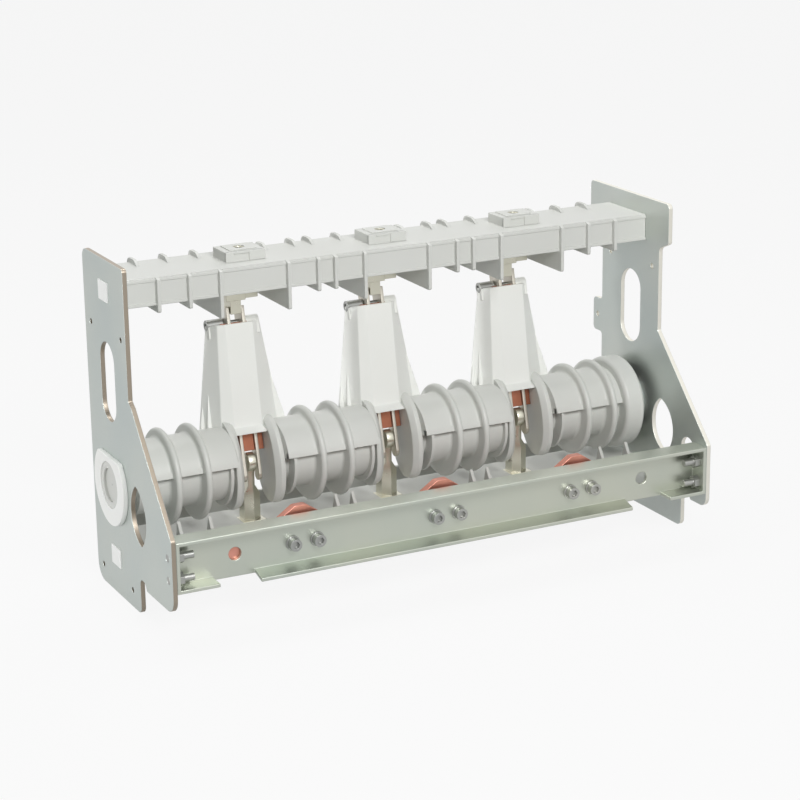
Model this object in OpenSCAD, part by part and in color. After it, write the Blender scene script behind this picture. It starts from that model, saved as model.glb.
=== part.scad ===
// Three-pole rotary switch on a pair of side plates: fixed frame, beams and contacts,
// and one turning shaft that carries a tower with a pair of blades at each pole.
// Millimetres, +Z up, front of the switch towards -Y, length along X.

/* [Frame] */
// Distance between the side plates' inner faces
span = 476; // [460:1:500]
// Side plate thickness
plate_t = 4; // [3:0.5:6]
// Rise of the side plates' tops above the top beam
plate_rise = 14.5; // [10:0.5:24]
// Depth from the front lobes to the rear ears
depth = 189; // [180:1:200]
// Setback of the plates' upper front edge from the front
upper_front = 78.5; // [70:0.5:84]
// Depth of the plates' upper part
upper_d = 90; // [84:0.5:96]
// Height of the front lobe's top corner
lobe_top = 83; // [82:0.5:90]
// Height of the front lobe's lower edge
lobe_low = 24; // [18:0.5:30]
// Height where the upper front edge starts to flare forward
flare_top = 168; // [150:1:175]
// Step of the flare's upper corner
flare_step = 6; // [2:0.5:10]
// Front edge of the left foot, from the front
left_foot = 71; // [65:0.5:80]
// Front edge of the right foot, from the front
right_foot = 37; // [32:0.5:45]
// Width of the relief slot before each foot
foot_slot = 13; // [10:0.5:15]
// Forward reach of the right plate's top ear
ear_front = 14; // [8:0.5:18]
// Height of the right plate's top ears
ear_h = 34; // [25:0.5:40]
// Height of the rear tab on the right plate
tab_h = 30; // [20:0.5:36]
// Mid height of that tab
tab_z = 157; // [150:0.5:165]
// Rearward reach of that tab
tab_d = 14; // [8:0.5:18]
// Oblong window length
window_l = 64.5; // [58:0.5:70]
// Oblong window width
window_w = 31; // [24:0.5:36]
// Oblong window mid height
window_z = 177; // [170:0.5:184]
// Lens hole height
lens_h = 48; // [40:0.5:54]
// Lens hole width
lens_w = 32; // [26:0.5:36]
// Lens hole mid height
lens_z = 82; // [74:0.5:92]
// Lens hole setback from the front
lens_s = 68; // [62:0.5:74]
// Round hole in the right plate's lobe, diameter
lobe_hole_d = 19; // [14:0.5:22]
// Setback of that hole
lobe_hole_s = 29; // [26:0.5:34]
// Height of that hole
lobe_hole_z = 72.5; // [66:0.5:78]
// Corner hole diameter
corner_d = 4.5; // [3:0.1:6]
// Corner hole spacing front to back
corner_w = 66; // [60:0.5:72]
// Corner hole spacing up and down
corner_h = 204; // [196:0.5:210]
// Height of the lower corner holes
corner_z = 14.5; // [12:0.5:20]

/* [Front rail] */
// Rail sheet thickness
rail_t = 3; // [2:0.25:4]
// Rail height
rail_h = 41; // [36:0.5:45]
// Height of the rail's underside
rail_z = 40; // [36:0.5:44]
// Forward reach of the rail's flanges before the web
flange = 16; // [12:0.5:20]
// Forward reach of the lower strips
strip = 13; // [10:0.5:15]
// Droop of the middle strip's front edge
droop = 3.5; // [0:0.5:5]
// Gap from the side plates to the middle lower strip
strip_gap = 70; // [62:1:86]
// Length of the outer lower strips
strip_end = 35; // [28:1:48]
// Distance of the rail's end holes from the side plates
rail_hole_end = 54; // [48:0.5:62]
// Rail end hole diameter
rail_hole_d = 10.5; // [8:0.25:12]
// Screw height
screw_z = 58.5; // [54:0.5:64]
// Distance between the two screws of a pole
screw_gap = 20.8; // [18:0.2:26]
// Screw thread diameter
screw_d = 6; // [5:0.5:8]
// Stud setback from the front
stud_s = 9; // [7:0.5:11]
// Height of the lower stud
stud_z = 49.5; // [48:0.5:54]
// Distance between the studs
stud_gap = 18; // [16:0.5:22]

/* [Poles] */
// Pole pitch
pitch = 125; // [120:0.5:130]
// Shaft axis setback from the front
axis_s = 122; // [116:0.5:126]
// Shaft axis height
axis_z = 92.5; // [90:0.5:98]
// Backward lean of the towers when closed
lean = 14; // [8:0.5:16]

/* [Shaft] */
// Diameter of the drum's upper half
drum_d = 64; // [56:0.5:70]
// Diameter of the drum's lower half
drum_low_d = 53; // [46:0.5:56]
// Ring diameter
ring_d = 79; // [72:0.5:84]
// Ring thickness
ring_t = 4.5; // [3:0.25:7]
// Ring distance from the pole
ring_x = 50; // [46:0.5:56]
// Distance of the extra left ring from the shaft's end face
ring_end = 29.5; // [24:0.5:34]
// End boss width
boss_w = 30; // [24:0.5:36]
// Journal diameter
journal_d = 38; // [34:0.5:42]
// Running clearance of the journals
run = 0.08; // [0.02:0.01:0.1]
// Drive socket diameter
socket_d = 28; // [22:0.5:30]
// Drive socket depth
socket_l = 24; // [16:1:30]
// Bush flange diameter
bush_d = 66; // [58:0.5:72]
// Height of the flange's flat above the axis
bush_flat = 24; // [22:0.5:30]
// Bush flange thickness
bush_t = 4; // [3:0.5:6]
// Bush wall around the journal
bush_wall = 4; // [3:0.5:6]
// Gap from the shaft's end faces to the side plates
end_gap = 8; // [5:0.5:10]

/* [Towers] */
// Gap between the hub's cheeks
cheek_gap = 27; // [24:0.5:30]
// Rounding of the slot's upper corners
slot_r = 5; // [2:0.5:8]
// Cheek thickness
cheek_t = 8; // [6:0.5:10]
// Hub diameter
hub_d = 73; // [66:0.5:78]
// Tower top below the barrel's middle
tower_drop = 4; // [2:0.5:8]
// Tower width at the top
tower_w1 = 38; // [32:0.5:42]
// Tower width at the base
tower_w0 = 50; // [46:0.5:60]
// Width of the flat middle of the tower's faces
face_w = 24.5; // [22:0.5:28]
// Tower depth at the top
tower_d1 = 31; // [24:0.5:34]
// Tower depth at the base
tower_d0 = 16.5; // [14.5:0.5:20]
// Height of the tower's base above the axis
tower_z0 = 30; // [29:0.5:34]
// Height of the arch above the axis
arch_h = 23.5; // [20:0.5:26]
// Setback of the arch's edge before the tower's middle
arch_y = 12.5; // [10:0.5:16]
// Barrel diameter at the tower's top
barrel_d = 8.5; // [7.5:0.5:10]
// Barrel's middle below the blades' tips
barrel_drop = 13; // [11:0.5:16]
// Barrel length
barrel_l = 45; // [42:0.5:48]
// Length of the lug under each end of the barrel
lug_l = 6; // [5:0.5:8]
// Depth of that lug below the barrel's middle
lug_h = 11; // [9:0.5:13]
// Pin diameter
pin_d = 4; // [3:0.25:5]
// Gusset width at its top
gusset_w1 = 49; // [45:0.5:54]
// Top of the gussets below the tower's top
gusset_drop = 19; // [15:0.5:24]
// Gusset width at its base
gusset_w0 = 73; // [66:0.5:80]
// Height of the gussets' base above the axis
gusset_z = 34; // [30:0.5:40]
// Gusset thickness
gusset_t = 3.5; // [2.5:0.25:4.5]
// Groove between the two gussets
gusset_gap = 4; // [3:0.5:6]

/* [Contacts] */
// Blade thickness
blade_t = 3; // [2:0.25:4]
// Gap between the two blades
blade_gap = 10; // [8:0.25:11]
// Blade width
blade_w = 10; // [8:0.5:11]
// Blade tip above the axis
blade_h = 127; // [124:0.5:129]
// Blade foot radius
blade_r = 8.5; // [8:0.5:12]
// Height of the lower contact's post
post_z = 73; // [68:0.5:76]
// Diameter of the lower knife's round end
knife_d = 15; // [14.5:0.5:20]
// Side clearance of the fixed knives between the blades
knife_play = 0.4; // [0.3:0.05:0.8]
// Knife end clearance over the barrel
knife_over = 5; // [5:0.5:6]
// Knife height under its block
knife_h = 11.5; // [11:0.5:13]
// Front face of the upper contact block behind the axis
block_y = 15; // [12:0.5:18]
// Depth of the upper contact block
block_d = 27; // [22:0.5:30]
// Width of the upper contact block
block_w = 17; // [14:0.5:20]
// Reach of that block to the left of its pole
block_x = 9; // [7:0.5:10]
// Height of that block
block_h = 15.14; // [12:0.02:18]
// Size of the square lug at the block's right side
clip_w = 12; // [10:0.5:14]

/* [Beams] */
// Top beam front face before the axis
beam_front = 22; // [20:0.5:24]
// Top beam depth
beam_d = 58; // [54:0.5:62]
// Top beam height
beam_h = 22.5; // [20:0.5:26]
// Fin reach beyond the beam's faces
fin_out = 4; // [3:0.5:7]
// Fin thickness
fin_t = 3; // [2:0.25:4]
// Rise of the fins' rear humps above the beam
fin_rise = 4; // [2:0.5:6]
// Drop of the small fins below the beam
fin_small = 5.5; // [4:0.5:8]
// Drop of the large fins below the beam
fin_large = 17; // [14:0.5:20]
// Large fin distance from the pole
fin_x1 = 29; // [26:0.5:32]
// Small fin distance from the pole
fin_x2 = 55; // [50:0.5:58]
// Distance of the extra end fins from the side plates
fin_end = 32; // [28:0.5:40]
// Collar width over the terminal
collar_w = 34; // [30:0.5:38]
// Collar front face before the axis
collar_front = 6; // [4:0.5:8]
// Collar depth
collar_d = 26; // [24:0.5:30]
// Collar rise above the beam
collar_h = 8; // [6:0.5:10]
// Terminal block width
term_w = 20; // [18:0.5:24]
// Terminal block depth
term_d = 16; // [14:0.5:18]
// Terminal bore diameter
term_bore = 8.5; // [8.5:0.5:10.5]
// Terminal bore depth
term_l = 16; // [12:1:18]
// Tenon size front to back
tenon_d = 20; // [16:0.5:24]
// Tenon size up and down
tenon_h = 16; // [12:0.5:18]
// Lower beam depth
low_d = 56; // [48:0.5:64]
// Lower beam height
low_h = 24; // [20:0.5:28]
// Height of the lower beam's underside
low_z = 20; // [14:0.5:24]
// Height of the lower beam's front fins
tooth_z = 70; // [64:0.5:74]
// Forward reach of the lower beam's front fins
tooth_out = 24; // [20:0.5:26]

/* [Earthing] */
// Earth bar thickness
bar_t = 4; // [3:0.5:6]
// Earth bar height
bar_h = 25; // [20:0.5:28]
// Gap from the left plate to the earth bar
bar_gap_left = 43; // [33:1:48]
// Gap from the right plate to the earth bar
bar_gap_right = 66; // [62:1:73]
// Earth contact width
earth_w = 38; // [34:0.5:42]
// Width of the earth contact's top
earth_w1 = 10; // [8:0.5:14]
// Height where the earth contact starts to narrow
earth_mid = 76; // [72:0.5:78]
// Earth contact thickness
earth_t = 7; // [5:0.5:8]
// Earth contact top height
earth_top = 85.5; // [84:0.5:90]

/* [Hidden] */
$fn = 64;
front = -depth / 2;
axis_y = front + axis_s;
web_y = front + flange;
half = span / 2;
upper_y0 = front + upper_front;
upper_y1 = upper_y0 + upper_d;
rear = depth / 2;
strip_half = half - strip_gap;
strip_out = half - strip_end;
rail_hole_x = half - rail_hole_end;
bar_left = half - bar_gap_left;
bar_right = half - bar_gap_right;
cheek_out = cheek_gap / 2 + cheek_t;
barrel_z = blade_h - barrel_drop;
tower_h = barrel_z - tower_drop;
gusset_top = tower_h - gusset_drop;
knife_t = blade_gap - 2 * knife_play;
knife_z = axis_z + barrel_z * cos(lean) + barrel_d / 2 + knife_over;
beam_z = knife_z + knife_h + block_h;
beam_y0 = axis_y - beam_front;
beam_y1 = beam_y0 + beam_d;
beam_top = beam_z + beam_h;
plate_h = beam_top + plate_rise;
term_y = axis_y - collar_front + collar_d / 2;
term_top = beam_top + collar_h;
low_top = low_z + low_h;
shaft_end = half - end_gap;
bush_out_d = journal_d + 2 * bush_wall;

// Arc points that round a corner b between a and c with radius r
function unit(v) = v / norm(v);
function fillet(a, b, c, r) =
    let (u = unit(a - b), w = unit(c - b), ang = acos(u * w), t = r / tan(ang / 2),
         m = b + unit(u + w) * r / sin(ang / 2), p = b + u * t - m, q = b + w * t - m,
         s = atan2(p[1], p[0]), d0 = atan2(q[1], q[0]) - s,
         d = d0 > 180 ? d0 - 360 : d0 < -180 ? d0 + 360 : d0)
    r < 0.1 ? [b] : [for (k = [0 : 6]) m + r * [cos(s + d * k / 6), sin(s + d * k / 6)]];
function rounded(p) =
    let (n = len(p))
    [for (i = [0 : n - 1], q = fillet([p[(i + n - 1) % n][0], p[(i + n - 1) % n][1]], [p[i][0], p[i][1]],
        [p[(i + 1) % n][0], p[(i + 1) % n][1]], p[i][2])) q];

// Outline drawn front-to-back and upwards, extruded along X from x0
module yz(x0, t) {
    translate([x0, 0, 0])
        rotate([90, 0, 90])
            linear_extrude(height = t)
                children();
}

// Round bar along X
module xbar(x0, x1, d, y, z) {
    translate([x0, y, z])
        rotate([0, 90, 0])
            cylinder(h = x1 - x0, d = d);
}

function pole_x(k) = (k - 2) * pitch;

module lens_hole() {
    r = (lens_h * lens_h / 4 + lens_w * lens_w / 4) / lens_w;
    translate([front + lens_s, lens_z])
        rotate(-10)
            intersection() {
                translate([r - lens_w / 2, 0])
                    circle(r = r, $fn = 96);
                translate([lens_w / 2 - r, 0])
                    circle(r = r, $fn = 96);
            }
}

module plate_holes(x0) {
    for (s = [-1, 1]) {
        xbar(x0 - 1, x0 + plate_t + 1, window_w, axis_y, window_z + s * (window_l - window_w) / 2);
    }
    translate([x0 - 1, axis_y - window_w / 2, window_z - (window_l - window_w) / 2])
        cube([plate_t + 2, window_w, window_l - window_w]);
    yz(x0 - 1, plate_t + 2)
        lens_hole();
    xbar(x0 - 1, x0 + plate_t + 1, bush_out_d, axis_y, axis_z);
    for (s = [-1, 1], z = [corner_z, corner_z + corner_h]) {
        xbar(x0 - 1, x0 + plate_t + 1, corner_d, axis_y + s * corner_w / 2, z);
    }
    for (k = [0, 1]) {
        xbar(x0 - 1, x0 + plate_t + 1, screw_d, front + stud_s, stud_z + k * stud_gap);
    }
    for (z = [beam_z + beam_h / 2, low_z + low_h / 2]) {
        translate([x0 - 1, axis_y - tenon_d / 2, z - tenon_h / 2])
            cube([plate_t + 2, tenon_d, tenon_h]);
    }
}

// Zinc-plated side plate with straight front and rear edges above the flare
module left_side_plate() {
    x0 = -half - plate_t;
    f = front + left_foot;
    color([0.72, 0.76, 0.74])
        difference() {
            yz(x0, plate_t)
                polygon(rounded([[f, 0, 6], [upper_y1, 0, 14], [upper_y1, plate_h, 8],
                    [upper_y0, plate_h, 3], [upper_y0, flare_top + 4, 2],
                    [upper_y0 - flare_step, flare_top, 2], [front, lobe_top, 4], [front, lobe_low, 12],
                    [f - foot_slot, lobe_low, 2], [f - foot_slot, lobe_low + 6, 5],
                    [f, lobe_low + 6, 5]]));
            plate_holes(x0);
        }
}

// Zinc-plated side plate with a pair of top ears and a rear tab
module right_side_plate() {
    x0 = half;
    f = front + right_foot;
    color([0.72, 0.76, 0.74])
        difference() {
            yz(x0, plate_t)
                polygon(rounded([[f, 0, 6], [upper_y1, 0, 14], [upper_y1, tab_z - tab_h / 2, 3],
                    [upper_y1 + tab_d, tab_z - tab_h / 2, 4], [upper_y1 + tab_d, tab_z + tab_h / 2, 4],
                    [upper_y1, tab_z + tab_h / 2, 3], [upper_y1, plate_h - ear_h, 4],
                    [rear, plate_h - ear_h, 4], [rear, plate_h, 4], [upper_y0 - ear_front, plate_h, 4],
                    [upper_y0 - ear_front, plate_h - ear_h, 3], [upper_y0, plate_h - ear_h - 6, 5],
                    [upper_y0, flare_top - 4, 4], [front, lobe_top, 4], [front, lobe_low + 4, 8],
                    [f - foot_slot, lobe_low + 4, 2], [f - foot_slot, lobe_low + 10, 5],
                    [f, lobe_low + 10, 5]]));
            plate_holes(x0);
            xbar(x0 - 1, x0 + plate_t + 1, lobe_hole_d, front + lobe_hole_s, lobe_hole_z);
            xbar(x0 - 1, x0 + plate_t + 1, corner_d, upper_y1 + tab_d / 2, tab_z);
        }
}

// Bent zinc channel, open to the front, between the plates' lobes
module front_rail() {
    color([0.74, 0.77, 0.73])
        difference() {
            union() {
                translate([-half, web_y, rail_z])
                    cube([span, rail_t, rail_h]);
                translate([-half, front, rail_z + rail_h - rail_t])
                    cube([span, flange + rail_t, rail_t]);
                for (s = [-1, 1]) {
                    translate([s < 0 ? -half : half - rail_t, front, rail_z + rail_t])
                        cube([rail_t, flange + rail_t, rail_h - 2 * rail_t]);
                    translate([s < 0 ? -half : strip_out, front, rail_z])
                        cube([half - strip_out, flange + rail_t, rail_t]);
                }
                yz(-strip_half, 2 * strip_half)
                    polygon([[web_y + rail_t, rail_z], [web_y, rail_z], [web_y - strip, rail_z - droop],
                        [web_y - strip, rail_z - droop + rail_t], [web_y, rail_z + rail_t],
                        [web_y + rail_t, rail_z + rail_t]]);
            }
            for (x = [-rail_hole_x, rail_hole_x]) {
                translate([x, web_y - 1, screw_z])
                    rotate([-90, 0, 0])
                        cylinder(h = rail_t + 2, d = rail_hole_d);
            }
            for (k = [1 : 3], s = [-1, 1]) {
                translate([pole_x(k) + s * screw_gap / 2, web_y - 1, screw_z])
                    rotate([-90, 0, 0])
                        cylinder(h = rail_t + 2, d = screw_d);
            }
            for (k = [0, 1]) {
                xbar(-half - 1, half + 1, screw_d, front + stud_s, stud_z + k * stud_gap);
            }
        }
}

// Thin cross fin, flush with the beam's top in front, with a round hump at the rear
module fin(x, drop) {
    yz(x - fin_t / 2, fin_t)
        polygon(rounded([[beam_y0 - fin_out, beam_z - drop, 2], [beam_y1 + fin_out, beam_z - drop, 2],
            [beam_y1 + fin_out, beam_top + fin_rise, 6], [beam_y1 - 10, beam_top + fin_rise, 5],
            [beam_y1 - 20, beam_top, 0], [beam_y0, beam_top, 0], [beam_y0 - fin_out, beam_top - 1.5, 0]]));
}

// White moulded beam with fins and a terminal collar over each pole, tenoned into both plates
module top_beam() {
    color([0.93, 0.94, 0.92])
        difference() {
            union() {
                translate([-half, beam_y0, beam_z])
                    cube([span, beam_d, beam_h]);
                translate([-half - plate_t - 1, axis_y - tenon_d / 2, beam_z + beam_h / 2 - tenon_h / 2])
                    cube([span + 2 * plate_t + 2, tenon_d, tenon_h]);
                for (k = [1 : 3], s = [-1, 1]) {
                    fin(pole_x(k) + s * fin_x1, fin_large);
                    fin(pole_x(k) + s * fin_x2, fin_small);
                }
                for (s = [-1, 1]) {
                    fin(s * (half - fin_end), fin_small);
                }
                for (k = [1 : 3]) {
                    translate([pole_x(k) - collar_w / 2, axis_y - collar_front, beam_z + 1])
                        cube([collar_w, collar_d, beam_h + collar_h - 1]);
                }
            }
            for (k = [1 : 3]) {
                translate([pole_x(k) - term_w / 2, term_y - term_d / 2, beam_z - 1])
                    cube([term_w, term_d, beam_h + collar_h + 2]);
            }
        }
}

// Pointed fin before the lower beam
module tooth(x, y0) {
    yz(x - fin_t / 2, fin_t)
        polygon([[y0 + 1, low_z + 3], [y0 - tooth_out + 4, low_z + 3], [y0 - tooth_out, low_z + 7],
            [y0 - tooth_out, tooth_z - 9], [y0 - tooth_out + 6, tooth_z], [y0 - tooth_out + 11, low_top + 6],
            [y0 + 1, low_top - 1]]);
}

// White moulded lower beam with pointed front fins, tenoned into both plates
module lower_beam() {
    y0 = axis_y - low_d / 2;
    color([0.90, 0.91, 0.89])
        difference() {
            union() {
                translate([-half, y0, low_z])
                    cube([span, low_d, low_h]);
                translate([-half - plate_t - 1, axis_y - tenon_d / 2, low_z + low_h / 2 - tenon_h / 2])
                    cube([span + 2 * plate_t + 2, tenon_d, tenon_h]);
                for (k = [1 : 3], s = [-1, 1]) {
                    tooth(pole_x(k) + s * fin_x2, y0);
                }
                for (s = [-1, 1]) {
                    tooth(s * (half - fin_end), y0);
                }
            }
            for (k = [1 : 3]) {
                translate([pole_x(k) - term_w / 2, axis_y - term_d / 2, low_z - 1])
                    cube([term_w, term_d, low_h + 2]);
            }
        }
}

// Silver-plated fixed knife under its block, with a terminal let into the top beam's collar
module upper_contact(k) {
    y0 = axis_y + block_y;
    z0 = knife_z + knife_h;
    color([0.82, 0.81, 0.74])
        difference() {
            union() {
                translate([pole_x(k) - knife_t / 2, y0 + 2, knife_z])
                    cube([knife_t, block_d - 4, knife_h + 1]);
                translate([pole_x(k) - block_x, y0, z0])
                    cube([block_w, block_d, block_h]);
                translate([pole_x(k) + block_w - block_x - 1, y0 + 1, z0 + 1])
                    cube([clip_w, clip_w, block_h - 1]);
                translate([pole_x(k) - term_w / 2, term_y - term_d / 2, beam_z - 5])
                    cube([term_w, y0 + 4 - term_y + term_d / 2, 5]);
                translate([pole_x(k) - term_w / 2, term_y - term_d / 2, beam_z - 1])
                    cube([term_w, term_d, term_top - beam_z + 1]);
            }
            translate([pole_x(k), term_y, term_top - term_l])
                cylinder(h = term_l + 1, d = term_bore);
        }
}

// Silver-plated fixed knife at the shaft axis on a ridged post, let into the lower beam
module lower_contact(k) {
    color([0.82, 0.81, 0.74])
        difference() {
            union() {
                xbar(pole_x(k) - knife_t / 2, pole_x(k) + knife_t / 2, knife_d, axis_y, axis_z);
                translate([pole_x(k), axis_y, low_top - 1])
                    linear_extrude(height = axis_z - low_top + 1)
                        polygon([[-knife_t / 2, 7], [-knife_t / 2, -2], [-knife_t / 2 + 1.5, -4],
                            [knife_t / 2 - 1.5, -4], [knife_t / 2, -2], [knife_t / 2, 7]]);
                translate([pole_x(k), axis_y, low_top])
                    linear_extrude(height = post_z - low_top)
                        polygon([[-7, 8], [-7, -3], [0, -7], [7, -3], [7, 8]]);
                translate([pole_x(k) - term_w / 2, axis_y - term_d / 2, low_z - 4])
                    cube([term_w, term_d, low_h + 4]);
            }
            translate([pole_x(k), axis_y, low_z - 5])
                cylinder(h = term_l + 1, d = term_bore);
        }
}

// Copper bar behind the rail's web
module earth_bar() {
    color([0.78, 0.45, 0.36])
        difference() {
            translate([-bar_left, web_y + rail_t, screw_z - bar_h / 2])
                cube([bar_left + bar_right, bar_t, bar_h]);
            for (k = [1 : 3], s = [-1, 1]) {
                translate([pole_x(k) + s * screw_gap / 2, web_y, screw_z])
                    rotate([-90, 0, 0])
                        cylinder(h = 20, d = screw_d);
            }
        }
}

// Copper earth contact on the bar, its chamfered top just above the rail
module earth_contact(k) {
    y0 = web_y + rail_t + bar_t;
    w = earth_w / 2;
    c = earth_w1 / 2;
    color([0.80, 0.45, 0.38])
        difference() {
            translate([pole_x(k), y0 + earth_t, 0])
                rotate([90, 0, 0])
                    linear_extrude(height = earth_t)
                        polygon(rounded([[-w, screw_z - 12, 0], [w, screw_z - 12, 0], [w, earth_mid, 3],
                            [c, earth_top, 5], [-c, earth_top, 5], [-w, earth_mid, 3]]));
            for (s = [-1, 1]) {
                translate([pole_x(k) + s * screw_gap / 2, web_y, screw_z])
                    rotate([-90, 0, 0])
                        cylinder(h = 40, d = screw_d);
            }
        }
}

// White bearing bush pressed into a side plate, flange outside
module bush(s) {
    x0 = s * half;
    color([0.95, 0.96, 0.95])
        difference() {
            union() {
                translate([x0, axis_y, axis_z])
                    rotate([0, s * 90, 0])
                        translate([0, 0, -2])
                            cylinder(h = plate_t + 2, d = bush_out_d);
                intersection() {
                    translate([x0 + s * plate_t, axis_y, axis_z])
                        rotate([0, s * 90, 0])
                            cylinder(h = bush_t, d = bush_d, $fn = 96);
                    translate([x0 - bush_d, axis_y - bush_d, axis_z - bush_d])
                        cube([2 * bush_d, 2 * bush_d, bush_d + bush_flat]);
                }
            }
            xbar(x0 - 20, x0 + 20, journal_d, axis_y, axis_z);
        }
}

module left_bush() {
    bush(-1);
}

module right_bush() {
    bush(1);
}

// Socket-head screw with washer, through the web, the bar and the contact
module rail_screw(k, s) {
    x = pole_x(k) + s * screw_gap / 2;
    color([0.75, 0.76, 0.72])
        translate([x, web_y, screw_z])
            rotate([-90, 0, 0])
                difference() {
                    union() {
                        translate([0, 0, -1.2])
                            cylinder(h = 1.2, d = 2 * screw_d);
                        translate([0, 0, -1.2 - screw_d])
                            cylinder(h = screw_d, d = screw_d * 10 / 6);
                        translate([0, 0, -0.1])
                            cylinder(h = rail_t + bar_t + earth_t + 3, d = screw_d);
                    }
                    translate([0, 0, -1.3 - screw_d])
                        cylinder(h = 3, d = screw_d, $fn = 6);
                }
}

// Stud through plate and rail end, with its nut inside
module stud(s, k) {
    z = stud_z + k * stud_gap;
    xo = s * (half + plate_t);
    color([0.76, 0.79, 0.77])
        translate([xo, front + stud_s, z])
            rotate([0, -s * 90, 0]) {
                cylinder(h = plate_t + rail_t + 14, d = screw_d);
                translate([0, 0, plate_t + rail_t])
                    cylinder(h = 5, d = screw_d * 11 / 6, $fn = 6);
            }
}

// Drum piece: a larger half on the towers' side and a smaller lower half
module drum(x0, x1) {
    translate([0, axis_y, axis_z])
        rotate([-lean, 0, 0]) {
            xbar(x0, x1, drum_low_d, 0, 0);
            intersection() {
                xbar(x0, x1, drum_d, 0, 0);
                translate([x0 - 1, -drum_d, 0])
                    cube([x1 - x0 + 2, 2 * drum_d, drum_d]);
            }
        }
}

module ring(x) {
    xbar(x - ring_t / 2, x + ring_t / 2, ring_d, axis_y, axis_z);
}

module shaft_left() {
    color([0.93, 0.94, 0.92])
        difference() {
            union() {
                drum(-shaft_end, pole_x(1) - cheek_out);
                ring(pole_x(1) - ring_x);
                ring(ring_end - shaft_end);
                xbar(-half - plate_t - bush_t + 1, -shaft_end + 1, journal_d - 2 * run, axis_y, axis_z);
            }
            xbar(-half - 20, -half - plate_t - bush_t + 1 + socket_l, socket_d, axis_y, axis_z);
        }
}

module shaft_mid(k) {
    color([0.93, 0.94, 0.92])
        union() {
            drum(pole_x(k) + cheek_out, pole_x(k + 1) - cheek_out);
            ring(pole_x(k) + ring_x);
            ring(pole_x(k + 1) - ring_x);
        }
}

module shaft_mid_left() {
    shaft_mid(1);
}

module shaft_mid_right() {
    shaft_mid(2);
}

module shaft_right() {
    color([0.93, 0.94, 0.92])
        union() {
            drum(pole_x(3) + cheek_out, shaft_end);
            ring(pole_x(3) + ring_x);
            xbar(shaft_end - boss_w, shaft_end, ring_d + 1, axis_y, axis_z);
            xbar(shaft_end - 1, half + plate_t + bush_t - 1, journal_d - 2 * run, axis_y, axis_z);
        }
}

// Places a piece at a pole, on the shaft axis, with the closed lean
module at_pole(k) {
    translate([pole_x(k), axis_y, axis_z])
        rotate([-lean, 0, 0])
            children();
}

// White tapered tower on a slotted hub, with paired gussets and a barrel for the blades' pin
module tower(k) {
    w = gusset_w1 / 2;
    b = gusset_w0 / 2;
    color([0.94, 0.95, 0.93])
        at_pole(k)
            difference() {
                union() {
                    hull() {
                        translate([0, 0, tower_h - 1])
                            linear_extrude(height = 1)
                                column(tower_w1 / 2, tower_d1 / 2, 4);
                        translate([0, 0, tower_z0 - 6])
                            linear_extrude(height = 6)
                                column(tower_w0 / 2, tower_d0 / 2, 3);
                    }
                    for (s = [-1, 1]) {
                        translate([0, s * (gusset_gap + gusset_t) / 2 + gusset_t / 2, 0])
                            rotate([90, 0, 0])
                                linear_extrude(height = gusset_t)
                                    polygon([[-b, 0], [b, 0], [b, gusset_z], [w, gusset_top],
                                        [w - 9, gusset_top + 4], [9 - w, gusset_top + 4],
                                        [-w, gusset_top], [-b, gusset_z]]);
                        translate([s * (barrel_l - lug_l) / 2, barrel_d / 2 - 0.25, barrel_z])
                            rotate([90, 0, 0])
                                linear_extrude(height = barrel_d - 0.5)
                                    polygon(rounded([[-lug_l / 2, 0, 0],
                                        [-lug_l / 2, -lug_h, s < 0 ? 4 : 0.5],
                                        [lug_l / 2, -lug_h, s < 0 ? 0.5 : 4], [lug_l / 2, 0, 0]]));
                    }
                    xbar(-cheek_out, cheek_out, hub_d, 0, 0);
                    xbar(-barrel_l / 2, barrel_l / 2, barrel_d, 0, barrel_z);
                }
                translate([0, hub_d, 0])
                    rotate([90, 0, 0])
                        linear_extrude(height = 2 * hub_d)
                            polygon(rounded([[-cheek_gap / 2, -hub_d, 0], [cheek_gap / 2, -hub_d, 0],
                                [cheek_gap / 2, arch_h, slot_r], [-cheek_gap / 2, arch_h, slot_r / 5]]));
                yz(-cheek_gap / 2, cheek_gap)
                    polygon([[-hub_d, arch_h], [-arch_y, arch_h], [-tower_d0 / 2 - 0.5, tower_z0],
                        [-tower_d0 / 2 - 0.5, hub_d / 2], [-hub_d, hub_d / 2]]);
                translate([-blade_gap / 2 - blade_t - 0.4, -blade_w / 2 - 0.4, 0])
                    cube([blade_gap + 2 * blade_t + 0.8, blade_w + 0.8, barrel_z + barrel_d]);
                xbar(-barrel_l, barrel_l, pin_d, 0, barrel_z);
                for (s = [-1, 1]) {
                    xbar(s < 0 ? -gusset_w0 : cheek_out, s < 0 ? -cheek_out : gusset_w0, drum_d, 0, 0);
                }
            }
}

module column(w, d, c) {
    f = face_w / 2;
    polygon([[-f, -d], [f, -d], [w, c - d], [w, d - c], [f, d], [-f, d], [-w, d - c], [-w, c - d]]);
}

// Silver-plated copper blade with a round foot at the shaft axis
module blade(k, s) {
    x0 = s < 0 ? -blade_gap / 2 - blade_t : blade_gap / 2;
    color([0.80, 0.79, 0.72])
        at_pole(k)
            difference() {
                union() {
                    xbar(x0, x0 + blade_t, 2 * blade_r, 0, 0);
                    translate([x0, -blade_w / 2, 0])
                        cube([blade_t, blade_w, blade_h]);
                }
                xbar(-barrel_l, barrel_l, pin_d, 0, barrel_z);
            }
}

// Steel pin across the barrel, holding both blades
module blade_pin(k) {
    color([0.70, 0.70, 0.68])
        at_pole(k)
            xbar(-barrel_l / 2 + 2, barrel_l / 2 - 2, pin_d, 0, barrel_z);
}

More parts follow.
